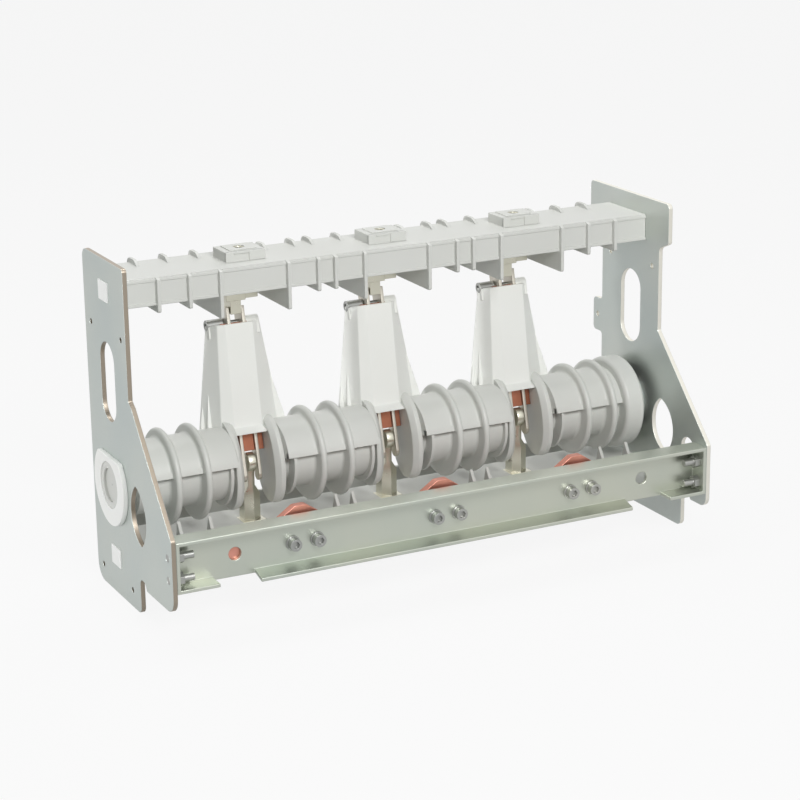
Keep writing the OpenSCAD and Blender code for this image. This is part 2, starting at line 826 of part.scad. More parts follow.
left_side_plate();
right_side_plate();
front_rail();
top_beam();
lower_beam();
upper_contact(1);  // upper_contact_1
upper_contact(2);  // upper_contact_2
upper_contact(3);  // upper_contact_3
lower_contact(1);  // lower_contact_1
lower_contact(2);  // lower_contact_2
lower_contact(3);  // lower_contact_3
earth_bar();
earth_contact(1);  // earth_contact_1
earth_contact(2);  // earth_contact_2
earth_contact(3);  // earth_contact_3
left_bush();
right_bush();
rail_screw(1, -1);  // rail_screw_1a
rail_screw(1, 1);  // rail_screw_1b
rail_screw(2, -1);  // rail_screw_2a
rail_screw(2, 1);  // rail_screw_2b
rail_screw(3, -1);  // rail_screw_3a
rail_screw(3, 1);  // rail_screw_3b
stud(-1, 0);  // left_stud_low
stud(-1, 1);  // left_stud_high
stud(1, 0);  // right_stud_low
stud(1, 1);  // right_stud_high
shaft_left();
shaft_mid_left();
shaft_mid_right();
shaft_right();
tower(1);  // tower_1
tower(2);  // tower_2
tower(3);  // tower_3
blade(1, -1);  // blade_1a
blade(1, 1);  // blade_1b
blade(2, -1);  // blade_2a
blade(2, 1);  // blade_2b
blade(3, -1);  // blade_3a
blade(3, 1);  // blade_3b
blade_pin(1);  // blade_pin_1
blade_pin(2);  // blade_pin_2
blade_pin(3);  // blade_pin_3
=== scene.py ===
import math
import bmesh
import bpy
from mathutils import Matrix, Vector


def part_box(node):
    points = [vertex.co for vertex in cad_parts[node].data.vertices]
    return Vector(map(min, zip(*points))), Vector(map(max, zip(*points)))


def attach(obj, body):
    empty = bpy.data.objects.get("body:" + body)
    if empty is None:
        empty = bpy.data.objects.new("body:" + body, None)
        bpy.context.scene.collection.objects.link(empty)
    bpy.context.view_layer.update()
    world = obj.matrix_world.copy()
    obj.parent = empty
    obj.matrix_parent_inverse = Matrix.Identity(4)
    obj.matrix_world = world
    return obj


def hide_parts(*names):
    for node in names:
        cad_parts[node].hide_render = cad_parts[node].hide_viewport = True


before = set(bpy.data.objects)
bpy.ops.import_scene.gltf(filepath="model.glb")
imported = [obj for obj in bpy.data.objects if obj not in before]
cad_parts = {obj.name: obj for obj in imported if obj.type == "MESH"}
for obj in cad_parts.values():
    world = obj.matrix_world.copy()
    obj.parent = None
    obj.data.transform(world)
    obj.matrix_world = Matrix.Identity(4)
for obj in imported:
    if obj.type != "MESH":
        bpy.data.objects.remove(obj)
scene = bpy.context.scene
scene.view_settings.view_transform = "Standard"
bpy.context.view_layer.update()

# Side plates
# Two laser-cut sheets of zinc-plated steel stand the switch on its feet. Their cut edges
# are just broken, and the plating has a faint cool and warm cloud and fine rolling marks.
EDGE_BREAK, FLAT_ANGLE, HARD_ANGLE = 0.00045, math.radians(0.6), math.radians(28.0)


def zinc_plating(name, cool, warm, roughness, rim_tint_and_highlight=None):
    """Zinc plating: a cloudy tint and fine rolling marks; rim_tint_and_highlight colours a sheet's rim, as a
    brown cut-edge tint on one plate and as a painted highlight on the other.
    """
    finish = bpy.data.materials.new(name)
    finish.use_nodes = True
    nodes, links = finish.node_tree.nodes, finish.node_tree.links
    metal = nodes["Principled BSDF"]
    metal.inputs["Metallic"].default_value = 0.85
    place = nodes.new("ShaderNodeTexCoord")
    cloud = nodes.new("ShaderNodeTexNoise")
    cloud.inputs["Scale"].default_value = 9.0
    cloud.inputs["Detail"].default_value = 3.0
    links.new(place.outputs["Object"], cloud.inputs["Vector"])
    tint = nodes.new("ShaderNodeValToRGB")
    tint.color_ramp.elements[0].position = 0.35
    tint.color_ramp.elements[0].color = (*cool, 1.0)
    tint.color_ramp.elements[1].position = 0.68
    tint.color_ramp.elements[1].color = (*warm, 1.0)
    links.new(cloud.outputs["Fac"], tint.inputs["Fac"])
    links.new(tint.outputs["Color"], metal.inputs["Base Color"])
    if rim_tint_and_highlight:
        facing = nodes.new("ShaderNodeSeparateXYZ")
        links.new(place.outputs["Normal"], facing.inputs["Vector"])
        flat = nodes.new("ShaderNodeMath")
        flat.operation = "ABSOLUTE"
        links.new(facing.outputs["X"], flat.inputs[0])
        border = nodes.new("ShaderNodeMapRange")
        border.inputs["From Min"].default_value = 0.25
        border.inputs["From Max"].default_value = 0.6
        links.new(flat.outputs["Value"], border.inputs["Value"])
        sheet = nodes.new("ShaderNodeMix")
        sheet.data_type = "RGBA"
        sheet.inputs["A"].default_value = (*rim_tint_and_highlight, 1.0)
        links.new(border.outputs["Result"], sheet.inputs["Factor"])
        links.new(tint.outputs["Color"], sheet.inputs["B"])
        links.new(sheet.outputs["Result"], metal.inputs["Base Color"])
    stretch = nodes.new("ShaderNodeMapping")
    stretch.inputs["Scale"].default_value = (60.0, 900.0, 900.0)
    links.new(place.outputs["Object"], stretch.inputs["Vector"])
    rolling = nodes.new("ShaderNodeTexNoise")
    rolling.inputs["Scale"].default_value = 1.0
    rolling.inputs["Detail"].default_value = 2.0
    links.new(stretch.outputs["Vector"], rolling.inputs["Vector"])
    dull = nodes.new("ShaderNodeMapRange")
    dull.inputs["To Min"].default_value = roughness - 0.06
    dull.inputs["To Max"].default_value = roughness + 0.08
    links.new(rolling.outputs["Fac"], dull.inputs["Value"])
    links.new(dull.outputs["Result"], metal.inputs["Roughness"])
    marks = nodes.new("ShaderNodeBump")
    marks.inputs["Strength"].default_value = 0.04
    marks.inputs["Distance"].default_value = 0.0003
    links.new(rolling.outputs["Fac"], marks.inputs["Height"])
    links.new(marks.outputs["Normal"], metal.inputs["Normal"])
    return finish


def eased(shape, radius, sharpest=0.0, clamp=True):
    """Rounds the edges of a shape that turn by more than an angle."""
    hard = [e for e in shape.edges if len(e.link_faces) == 2 and e.calc_face_angle(0.0) > sharpest]
    bmesh.ops.bevel(shape, geom=hard, offset=radius, offset_type="OFFSET", segments=2, profile=0.5,
                    affect="EDGES", material=-1, clamp_overlap=clamp)
    return shape


def rounded_copy(node, radius):
    """A copy of a CAD node with its flat faces joined again and its hard edges rounded."""
    shape = bmesh.new()
    shape.from_mesh(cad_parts[node].data)
    bmesh.ops.remove_doubles(shape, verts=shape.verts, dist=2e-6)
    bmesh.ops.dissolve_limit(shape, angle_limit=FLAT_ANGLE, verts=shape.verts, edges=shape.edges)
    return eased(shape, radius, HARD_ANGLE, clamp=False)


def fitted(shape, name, body, slot, finish, *nodes):
    """The finished piece: its mesh, smooth shading, body, finish and the CAD nodes it stands for; slot is not
    used.
    """
    mesh = bpy.data.meshes.new(name)
    shape.to_mesh(mesh)
    shape.free()
    mesh.shade_smooth()
    mesh.set_sharp_from_angle(angle=math.radians(50))
    mesh.materials.append(finish)
    piece = bpy.data.objects.new(name, mesh)
    scene.collection.objects.link(piece)
    even = piece.modifiers.new("even_shading", "WEIGHTED_NORMAL")
    even.keep_sharp = True
    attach(piece, body)
    if nodes:
        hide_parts(*nodes)
    return piece


# The left plate's zinc is a darker copy of the right plate's: painted shade that dims its outer face under
# the low side softbox. Its brown rim is a cut-edge tint.
shaded_left_zinc = zinc_plating("shaded_left_zinc", (0.51, 0.56, 0.545), (0.57, 0.605, 0.57), 0.36, (0.36, 0.31, 0.25))
# The right plate's light rim colour is a painted highlight on its lit front edge.
right_zinc_lit_rim = zinc_plating("right_zinc_lit_rim", (0.54, 0.59, 0.57), (0.61, 0.64, 0.60), 0.36, (0.82, 0.80, 0.72))
for node, sheet_zinc in (("left_side_plate", shaded_left_zinc), ("right_side_plate", right_zinc_lit_rim)):
    fitted(rounded_copy(node, EDGE_BREAK), node + "_sheet", "frame", "zinc_sheet", sheet_zinc, node)

# Front rail
# A channel folded from thinner zinc-plated sheet, screwed between the plates' front lobes.
# It reflects more of the warm side of the room, so its plating looks slightly yellower.
rail_zinc = zinc_plating("rail_zinc", (0.52, 0.56, 0.50), (0.58, 0.60, 0.52), 0.34)
FOLD_EDGE = 0.0006
rail = rounded_copy("front_rail", FOLD_EDGE)
fitted(rail, "front_rail_channel", "frame", "zinc_sheet", rail_zinc, "front_rail")

# Rail screws and studs
# Socket-head screws with washers, and threaded studs with nuts, in bright zinc-plated steel.
BOLT_EDGE = 0.0003
bolt_zinc = zinc_plating("bolt_zinc", (0.36, 0.37, 0.36), (0.46, 0.46, 0.43), 0.32)
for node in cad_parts:
    if node.startswith("rail_screw") or "_stud_" in node:
        fitted(rounded_copy(node, BOLT_EDGE), node + "_steel", "frame", "zinc_fastener", bolt_zinc, node)


# Earth bar and contacts
# A rolled copper bar behind the rail, with three copper contacts that stand just above it.
def bare_copper(name, bright, dark, roughness):
    """Bare rolled copper with darker tarnish clouds."""
    finish = bpy.data.materials.new(name)
    finish.use_nodes = True
    nodes, links = finish.node_tree.nodes, finish.node_tree.links
    metal = nodes["Principled BSDF"]
    metal.inputs["Metallic"].default_value = 0.9
    metal.inputs["Roughness"].default_value = roughness
    place = nodes.new("ShaderNodeTexCoord")
    cloud = nodes.new("ShaderNodeTexNoise")
    cloud.inputs["Scale"].default_value = 40.0
    cloud.inputs["Detail"].default_value = 4.0
    links.new(place.outputs["Object"], cloud.inputs["Vector"])
    tarnish = nodes.new("ShaderNodeValToRGB")
    tarnish.color_ramp.elements[0].position = 0.3
    tarnish.color_ramp.elements[0].color = (*dark, 1.0)
    tarnish.color_ramp.elements[1].position = 0.65
    tarnish.color_ramp.elements[1].color = (*bright, 1.0)
    links.new(cloud.outputs["Fac"], tarnish.inputs["Fac"])
    links.new(tarnish.outputs["Color"], metal.inputs["Base Color"])
    return finish


BAR_EDGE = 0.0004
earth_copper = bare_copper("earth_copper", (0.74, 0.34, 0.27), (0.55, 0.24, 0.18), 0.4)
for node in ("earth_bar", "earth_contact_1", "earth_contact_2", "earth_contact_3"):
    fitted(rounded_copy(node, BAR_EDGE), node + "_copper", "frame", "copper", earth_copper, node)


# Bearing bushes
# Turned white plastic bushes in the side plates, with a flange cut flat at the top.
def white_plastic(name, colour, roughness, grain, lit_tenon_reach=None):
    """Moulded insulating plastic: an uneven off-white with a satin grain, and a near-white painted highlight
    past lit_tenon_reach along X, on the tenon ends in the side plates.
    """
    finish = bpy.data.materials.new(name)
    finish.use_nodes = True
    nodes, links = finish.node_tree.nodes, finish.node_tree.links
    plastic = nodes["Principled BSDF"]
    plastic.inputs["Roughness"].default_value = roughness
    plastic.inputs["Specular IOR Level"].default_value = 0.4
    place = nodes.new("ShaderNodeTexCoord")
    cloud = nodes.new("ShaderNodeTexNoise")
    cloud.inputs["Scale"].default_value = 14.0
    cloud.inputs["Detail"].default_value = 2.0
    links.new(place.outputs["Object"], cloud.inputs["Vector"])
    tone = nodes.new("ShaderNodeValToRGB")
    tone.color_ramp.elements[0].position = 0.3
    tone.color_ramp.elements[0].color = (colour[0] * 0.965, colour[1] * 0.965, colour[2] * 0.955, 1.0)
    tone.color_ramp.elements[1].position = 0.7
    tone.color_ramp.elements[1].color = (*colour, 1.0)
    links.new(cloud.outputs["Fac"], tone.inputs["Fac"])
    links.new(tone.outputs["Color"], plastic.inputs["Base Color"])
    # Past this reach the colour turns near-white: a painted highlight on the tenon ends in the plates' outer
    # faces.
    if lit_tenon_reach:
        along = nodes.new("ShaderNodeSeparateXYZ")
        links.new(place.outputs["Object"], along.inputs["Vector"])
        reach = nodes.new("ShaderNodeMath")
        reach.operation = "ABSOLUTE"
        links.new(along.outputs["X"], reach.inputs[0])
        past = nodes.new("ShaderNodeMath")
        past.operation = "GREATER_THAN"
        past.inputs[1].default_value = lit_tenon_reach
        links.new(reach.outputs["Value"], past.inputs[0])
        ends = nodes.new("ShaderNodeMix")
        ends.data_type = "RGBA"
        ends.inputs["B"].default_value = (0.93, 0.94, 0.92, 1.0)
        links.new(past.outputs["Value"], ends.inputs["Factor"])
        links.new(tone.outputs["Color"], ends.inputs["A"])
        links.new(ends.outputs["Result"], plastic.inputs["Base Color"])
    satin = nodes.new("ShaderNodeTexNoise")
    satin.inputs["Scale"].default_value = 1400.0
    links.new(place.outputs["Object"], satin.inputs["Vector"])
    skin = nodes.new("ShaderNodeBump")
    skin.inputs["Strength"].default_value = grain
    skin.inputs["Distance"].default_value = 0.0002
    links.new(satin.outputs["Fac"], skin.inputs["Height"])
    links.new(skin.outputs["Normal"], plastic.inputs["Normal"])
    return finish


BUSH_EDGE = 0.0006
bush_plastic = white_plastic("bush_plastic", (0.95, 0.96, 0.94), 0.35, 0.02)
for node in ("left_bush", "right_bush"):
    fitted(rounded_copy(node, BUSH_EDGE), node + "_ring", "frame", "bush_white", bush_plastic, node)

# Beams
# White moulded beams with thin cross fins, tenoned into both side plates. The top beam has two rims along
# its front and a collar with a bored cap at each pole. A low upstand runs behind the lower beam.
MOULD_EDGE, RIM_EDGE, COLLAR_SHARP = 0.0006, 0.0003, 0.8
plate_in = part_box("left_side_plate")[1].x
beam_plastic = white_plastic("beam_plastic", (0.68, 0.69, 0.66), 0.45, 0.05, -plate_in)
# shade_plastic is a darker copy of beam_plastic: painted shade on the lower beam and its upstand, which lie
# under the rotor.
shade_plastic = white_plastic("shade_plastic", (0.60, 0.61, 0.58), 0.50, 0.05, -plate_in)
for node, plastic in (("top_beam", beam_plastic), ("lower_beam", shade_plastic)):
    fitted(rounded_copy(node, MOULD_EDGE), node + "_moulding", "frame", "white_moulding", plastic, node)


def bar(shape, low, high, turn=None):
    """A plain block between two corners, added to a shape, turned as it is placed if turn is given."""
    middle = (Vector(low) + Vector(high)) / 2
    size = Vector(high) - Vector(low)
    place = Matrix.Translation(middle) @ Matrix.Diagonal((*size, 1.0))
    bmesh.ops.create_cube(shape, size=1.0, matrix=turn @ place if turn else place)


pole_x = {k: sum(c.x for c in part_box(f"blade_pin_{k}")) / 2 for k in (1, 2, 3)}
UPSTAND_Y, UPSTAND_T, UPSTAND_LOW, UPSTAND_TOP = 0.0715, 0.0035, 0.036, 0.050
upstand = bmesh.new()
bar(upstand, (plate_in, UPSTAND_Y, UPSTAND_LOW), (-plate_in, UPSTAND_Y + UPSTAND_T, UPSTAND_TOP))
fitted(eased(upstand, MOULD_EDGE), "lower_beam_upstand", "frame", "white_moulding", shade_plastic)
FIN_OUT, COLLAR_RISE, BEAM_H, SUNK = 0.004, 0.008, 0.0225, 0.001
PANEL_RIM, PANEL_PROUD, UPPER_RIM, LOWER_RIM = 0.0022, 0.0008, 0.0012, 0.0004
beam_low, beam_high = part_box("top_beam")
beam_front = beam_low.y + FIN_OUT
beam_top = beam_high.z - COLLAR_RISE
rims = bmesh.new()
for z0 in (beam_top - PANEL_RIM - UPPER_RIM, beam_top - BEAM_H + LOWER_RIM):
    bar(rims, (plate_in, beam_front - PANEL_PROUD, z0), (-plate_in, beam_front + SUNK, z0 + PANEL_RIM))
fitted(eased(rims, RIM_EDGE), "top_beam_rims", "frame", "white_moulding", beam_plastic)
COLLAR_HALF, COLLAR_FRONT, COLLAR_PROUD = 0.017, 0.0165, 0.0016
RECESS_LEFT, RECESS_RIGHT, RECESS_H = 0.010, 0.003, 0.0062
CAP_X, CAP_Y, CAP_T, CAP_BACK, CAP_BORE, CAP_STEPS = 0.0118, 0.0098, 0.0008, 0.013, 0.0046, 32
collar_front = beam_front + COLLAR_FRONT
collar_top = beam_top + COLLAR_RISE
collars = bmesh.new()
for x in pole_x.values():
    for x0, x1, z0 in ((-COLLAR_HALF, -RECESS_LEFT, 0.0), (RECESS_RIGHT, COLLAR_HALF, 0.0),
                       (-RECESS_LEFT, RECESS_RIGHT, RECESS_H)):
        bar(collars, (x + x0, collar_front - COLLAR_PROUD, beam_top + z0),
            (x + x1, collar_front + SUNK, collar_top))
ways = [(math.cos(a), math.sin(a)) for a in (2 * math.pi * i / CAP_STEPS for i in range(CAP_STEPS))]
hole = [(CAP_BORE * c, CAP_BORE * s) for c, s in ways]
rim = [(CAP_X * c / max(abs(c), abs(s)), CAP_Y * s / max(abs(c), abs(s))) for c, s in ways]
for x in pole_x.values():
    rows = [[collars.verts.new((x + px, collar_front + CAP_BACK + py, collar_top + z)) for px, py in outline]
            for outline, z in ((rim, 0.0), (rim, CAP_T), (hole, CAP_T), (hole, 0.0))]
    for a, b in zip(rows, rows[1:] + rows[:1]):
        for i in range(CAP_STEPS):
            collars.faces.new((a[i - 1], a[i], b[i], b[i - 1]))
bmesh.ops.recalc_face_normals(collars, faces=collars.faces)
eased(collars, RIM_EDGE, COLLAR_SHARP)
fitted(collars, "top_beam_collar_rims", "frame", "white_moulding", beam_plastic)

# Shaft
# The turning shaft is moulded in four white lengths with thin round-edged ring fins. On the
# towers' side it is a full drum that ends in a lip, and under the lip it is cored to a thinner one.
rotor_plastic = white_plastic("rotor_plastic", (0.69, 0.70, 0.67), 0.36, 0.04)
LEAN, HALF_TURN, FULL_TURN = math.radians(14.0), math.pi, 2 * math.pi
DRUM_R, CORE_R, HOLLOW_R, DRUM_EDGE, FIN_T, FIN_BLEND = 0.032, 0.0265, 0.012, 0.0008, 0.0055, 0.0022
LIP_H, LIP_PROUD, LIP_DEEP, FIN_CLEAR = 0.0045, 0.0008, 0.004, 0.0002
RING_OFF, END_RING, END_GAP = 0.050, 0.0295, 0.008
END_FLANGE, END_FLANGE_T, END_RECESS, RECESS_R = 0.0310, 0.0025, 0.005, 0.020
BOSS_W, BOSS_PROUD, BOSS_EDGE = 0.0185, 0.0005, 0.004
JOURNAL_R, JOURNAL_L, JOURNAL_ROOT, AXIS_R = 0.01892, 0.015, 0.001, 0.0005
SOCKET_R, CENTRE_R, SOCKET_DEEP = 0.014, 0.004, 0.0021
DRUM_STEPS, LIP_STEPS, JOURNAL_STEPS = 56, 4, 64
ring_low, ring_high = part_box("shaft_mid_left")
axis = Vector((0.0, (ring_low.y + ring_high.y) / 2, (ring_low.z + ring_high.z) / 2))
RING_R = (ring_high.z - ring_low.z) / 2
forward = Vector((0.0, -math.cos(LEAN), math.sin(LEAN)))
upward = Vector((0.0, math.sin(LEAN), math.cos(LEAN)))


def turned(shape, outline, start, sweep, steps, centre=axis):
    """Sweeps a closed outline of places along the shaft and radii, from the front parting upwards."""
    way = forward * math.cos(start) + upward * math.sin(start)
    loop = [shape.verts.new(centre + Vector((x, 0.0, 0.0)) + way * r) for x, r in outline]
    edges = [shape.edges.new((loop[i - 1], loop[i])) for i in range(len(loop))]
    whole = sweep == FULL_TURN
    bmesh.ops.spin(shape, geom=loop + edges, cent=centre, axis=(-1.0, 0.0, 0.0), angle=sweep, steps=steps,
                   use_merge=whole, use_duplicate=False)
    if not whole:
        bmesh.ops.holes_fill(shape, edges=[e for e in shape.edges if e.is_boundary], sides=0)


def arc(across, up, radius, start, end, steps):
    """Points on an arc about a centre, from one angle to another in degrees."""
    turns = [math.radians(start + (end - start) * i / steps) for i in range(steps + 1)]
    return [(across + radius * math.cos(a), up + radius * math.sin(a)) for a in turns]


def ring_fins(x0, x1, radius, places):
    """The outline of a drum from x0 to x1 with round-edged fins that blend into it at these places."""
    outline = [(x0, HOLLOW_R), (x0, radius - DRUM_EDGE), (x0 + DRUM_EDGE, radius)]
    for x in sorted(places):
        outline += arc(x - FIN_T / 2 - FIN_BLEND, radius + FIN_BLEND, FIN_BLEND, -90.0, 0.0, 4)
        outline += arc(x, RING_R - FIN_T / 2, FIN_T / 2, 180.0, 0.0, 6)
        outline += arc(x + FIN_T / 2 + FIN_BLEND, radius + FIN_BLEND, FIN_BLEND, 180.0, 270.0, 4)
    return outline + [(x1 - DRUM_EDGE, radius), (x1, radius - DRUM_EDGE), (x1, HOLLOW_R)]


def cored_end(x, way):
    """The stepped outline at a hub end of the lower drum: a recess beside the hub, then a thin flange."""
    steps = [(0.0, HOLLOW_R), (0.0, RECESS_R), (END_RECESS, RECESS_R), (END_RECESS, END_FLANGE),
             (END_RECESS + END_FLANGE_T, END_FLANGE), (END_RECESS + END_FLANGE_T, CORE_R)]
    return [(x + way * along, r) for along, r in steps]


shaft_end = plate_in + END_GAP
LIP_TURN = LIP_H / DRUM_R
lengths = {
    "shaft_left": ((shaft_end + END_RING, pole_x[1] - RING_OFF), (False, True)),
    "shaft_mid_left": ((pole_x[1] + RING_OFF, pole_x[2] - RING_OFF), (True, True)),
    "shaft_mid_right": ((pole_x[2] + RING_OFF, pole_x[3] - RING_OFF), (True, True)),
    "shaft_right": ((pole_x[3] + RING_OFF, -shaft_end - END_RING), (True, False)),
}
for node, (places, hubs) in lengths.items():
    x0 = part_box(node)[0].x if hubs[0] else shaft_end
    x1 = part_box(node)[1].x if hubs[1] else -shaft_end
    length = bmesh.new()
    turned(length, ring_fins(x0, x1, DRUM_R, places), 0.0, HALF_TURN, DRUM_STEPS)
    below = ring_fins(x0, x1, CORE_R, places)
    if hubs[0]:
        below = cored_end(x0, 1.0) + below[3:]
    if hubs[1]:
        below = below[:-3] + cored_end(x1, -1.0)[::-1]
    turned(length, below, HALF_TURN, HALF_TURN, DRUM_STEPS)
    fin_sides = [x + s * (FIN_T / 2 + FIN_CLEAR) for x in sorted(places) for s in (-1.0, 1.0)]
    stops = [x0] + fin_sides + [x1]
    lip_in, lip_out = DRUM_R - LIP_DEEP, DRUM_R + LIP_PROUD
    for a, b in zip(stops[0::2], stops[1::2]):
        for start in (0.0, HALF_TURN - LIP_TURN):
            turned(length, [(a, lip_in), (a, lip_out), (b, lip_out), (b, lip_in)], start, LIP_TURN, LIP_STEPS)
    if not hubs[1]:
        corner = RING_R + BOSS_PROUD - BOSS_EDGE
        crown = arc(x1 - BOSS_W + BOSS_EDGE, corner, BOSS_EDGE, 180.0, 90.0, 4)
        crown += arc(x1 - BOSS_EDGE, corner, BOSS_EDGE, 90.0, 0.0, 4)
        turned(length, [(x1 - BOSS_W, HOLLOW_R)] + crown + [(x1, HOLLOW_R)], 0.0, FULL_TURN, 2 * DRUM_STEPS)
    if not all(hubs):
        root, inward, bore = (x1, -1.0, CENTRE_R) if hubs[0] else (x0, 1.0, SOCKET_R)
        base, tip = root + inward * JOURNAL_ROOT, root - inward * JOURNAL_L
        bottom = tip + inward * SOCKET_DEEP
        journal = [(base, AXIS_R), (base, JOURNAL_R), (tip, JOURNAL_R), (tip, bore), (bottom, bore),
                   (bottom, AXIS_R)]
        turned(length, journal, 0.0, FULL_TURN, JOURNAL_STEPS)
    bmesh.ops.remove_doubles(length, verts=length.verts, dist=1e-6)
    bmesh.ops.recalc_face_normals(length, faces=length.faces)
    fitted(length, node + "_moulding", "rotor", "white_moulding", rotor_plastic, node)


# Towers
# A white tapered tower with faceted sides stands at each pole on two oval cheeks, with a pair of thin
# gussets beside it. It is bridged between outlines. At its top a barrel takes the pin, and a grey sleeve over
# the barrel's left half is painted shade where the top beam's shadow falls on the barrel.
def at_pole(x):
    """The frame of a pole on the shaft's axis, with the closed lean."""
    return Matrix.Translation(axis + Vector((x, 0.0, 0.0))) @ Matrix.Rotation(-LEAN, 4, "X")


def bridged(shape, place, *outlines):
    """A solid through a row of outlines with the same number of corners, closed at both ends."""
    rows = []
    for outline in outlines:
        corners = [shape.verts.new(place @ Vector(corner)) for corner in outline]
        rows.append([shape.edges.new((corners[i - 1], corners[i])) for i in range(len(corners))])
    for lower, upper in zip(rows, rows[1:]):
        bmesh.ops.bridge_loops(shape, edges=lower + upper)
    bmesh.ops.holes_fill(shape, edges=rows[0] + rows[-1], sides=0)


def column(height, left, front, right, rear, wing):
    """The tower's outline at a height: front and rear flats, facets and a slanting left wall."""
    corners = [left, (-FLAT_HALF, -front), (FLAT_HALF, -front), right, (FLAT_HALF, rear),
               (-FLAT_HALF, rear), wing]
    return [(x, y, height) for x, y in corners]


def oval(x, half_depth, half_height):
    """The outline of a cheek across the shaft."""
    turns = [2 * math.pi * i / OVAL_STEPS for i in range(OVAL_STEPS)]
    return [(x, half_depth * math.cos(a), half_height * math.sin(a)) for a in turns]


ARCH_TOP, TOWER_FOOT, TOWER_TOP, FLAT_HALF = 0.0235, 0.0290, 0.1133, 0.0120
ARCH_SIDES = (-0.0215, -0.0135), 0.0155, (0.0255, 0.0040), 0.0200, (-0.0300, 0.0160)
FOOT_SIDES = (-0.0225, -0.0050), 0.00825, (0.0355, 0.0080), 0.0200, (-0.0332, 0.0180)
HEAD_SIDES = (-0.0175, -0.0115), 0.0155, (0.0255, 0.0030), 0.0155, (-0.0229, 0.0005)
CHEEK_IN, CHEEK_OUT, CHEEK_RIM, CHEEK_EDGE, CHEEK_HIGH = 0.0135, 0.0215, 0.0245, 0.0200, 0.0365
CHEEK_FALL, OVAL_STEPS, TOWER_EDGE, TOWER_SHARP = 0.0015, 48, 0.0007, math.radians(20.0)
GUSSET_FOOT, GUSSET_HEAD, GUSSET_CROWN, GUSSET_T = 0.0378, 0.0240, 0.0155, 0.0030
GUSSET_LOW, GUSSET_HIGH, GUSSET_RISE, GUSSET_BACK, GUSSET_APART = 0.034, 0.096, 0.004, 0.0095, 0.0035
FRONT_LEFT, REAR_LEFT = (0.0300, 0.0215), (0.0335, 0.0190)
BARREL_Z, BARREL_R, BARREL_HALF, BARREL_IN, BARREL_STEPS = 0.114, 0.00425, 0.0225, 0.009, 32
PIN_HOLE_R, LUG_L, LUG_H, SLEEVE_OUT, SLEEVE_PROUD = 0.0021, 0.006, 0.011, 0.0004, 0.0002
# The towers' plastic is a whiter copy of the cheeks' and drums' plastic: painted light on the towers' lit
# fronts.
lit_tower_plastic = white_plastic("lit_tower_plastic", (0.88, 0.89, 0.86), 0.32, 0.04)
# The sleeve's grey is painted shade: the barrel's left end lies in the top beam's shadow.
shaded_sleeve_grey = zinc_plating("shaded_sleeve_grey", (0.36, 0.37, 0.36), (0.44, 0.44, 0.42), 0.45)
for k, x in pole_x.items():
    node = f"tower_{k}"
    own = at_pole(x)
    barrel_middle = own @ Vector((0.0, 0.0, BARREL_Z))
    tower = bmesh.new()
    bridged(tower, own, column(ARCH_TOP, *ARCH_SIDES), column(TOWER_FOOT, *FOOT_SIDES),
            column(TOWER_TOP, *HEAD_SIDES))
    cheeks = bmesh.new()
    for side in (-1.0, 1.0):
        bridged(cheeks, own, oval(side * CHEEK_OUT, CHEEK_RIM, CHEEK_HIGH),
                oval(side * (CHEEK_OUT + CHEEK_IN) / 2, CHEEK_RIM, CHEEK_HIGH),
                oval(side * CHEEK_IN, CHEEK_EDGE, CHEEK_HIGH - CHEEK_FALL))
        left_foot, left_head = FRONT_LEFT if side < 0 else REAR_LEFT
        plate = [(-left_foot, ARCH_TOP), (GUSSET_FOOT, ARCH_TOP), (GUSSET_FOOT, GUSSET_LOW),
                 (GUSSET_HEAD, GUSSET_HIGH), (GUSSET_CROWN, GUSSET_HIGH + GUSSET_RISE),
                 (-GUSSET_CROWN, GUSSET_HIGH + GUSSET_RISE), (-left_head, GUSSET_HIGH),
                 (-left_foot, GUSSET_LOW)]
        middle = GUSSET_BACK + side * GUSSET_APART
        faces = (middle - GUSSET_T / 2, middle + GUSSET_T / 2)
        bridged(tower, own, *([(px, py, pz) for px, pz in plate] for py in faces))
        lug = side * (BARREL_HALF - LUG_L / 2)
        bar(tower, (lug - LUG_L / 2, -BARREL_R, BARREL_Z - LUG_H), (lug + LUG_L / 2, BARREL_R, BARREL_Z), own)
    barrel = [(BARREL_IN, PIN_HOLE_R), (BARREL_IN, BARREL_R), (BARREL_HALF, BARREL_R),
              (BARREL_HALF, PIN_HOLE_R)]
    turned(tower, barrel, 0.0, FULL_TURN, BARREL_STEPS, barrel_middle)
    for shape in (tower, cheeks):
        bmesh.ops.recalc_face_normals(shape, faces=shape.faces)
        eased(shape, TOWER_EDGE, TOWER_SHARP)
    fitted(tower, node + "_moulding", "rotor", "white_moulding", lit_tower_plastic, node)
    fitted(cheeks, node + "_cheeks", "rotor", "white_moulding", rotor_plastic)
    sleeve = bmesh.new()
    tube = [(-BARREL_HALF - SLEEVE_OUT, PIN_HOLE_R), (-BARREL_HALF - SLEEVE_OUT, BARREL_R - SLEEVE_OUT),
            (-BARREL_HALF, BARREL_R + SLEEVE_PROUD), (-BARREL_IN, BARREL_R + SLEEVE_PROUD),
            (-BARREL_IN, PIN_HOLE_R)]
    turned(sleeve, tube, 0.0, FULL_TURN, BARREL_STEPS, barrel_middle)
    bmesh.ops.recalc_face_normals(sleeve, faces=sleeve.faces)
    fitted(sleeve, node + "_pin_sleeve", "rotor", "zinc_fastener", shaded_sleeve_grey)


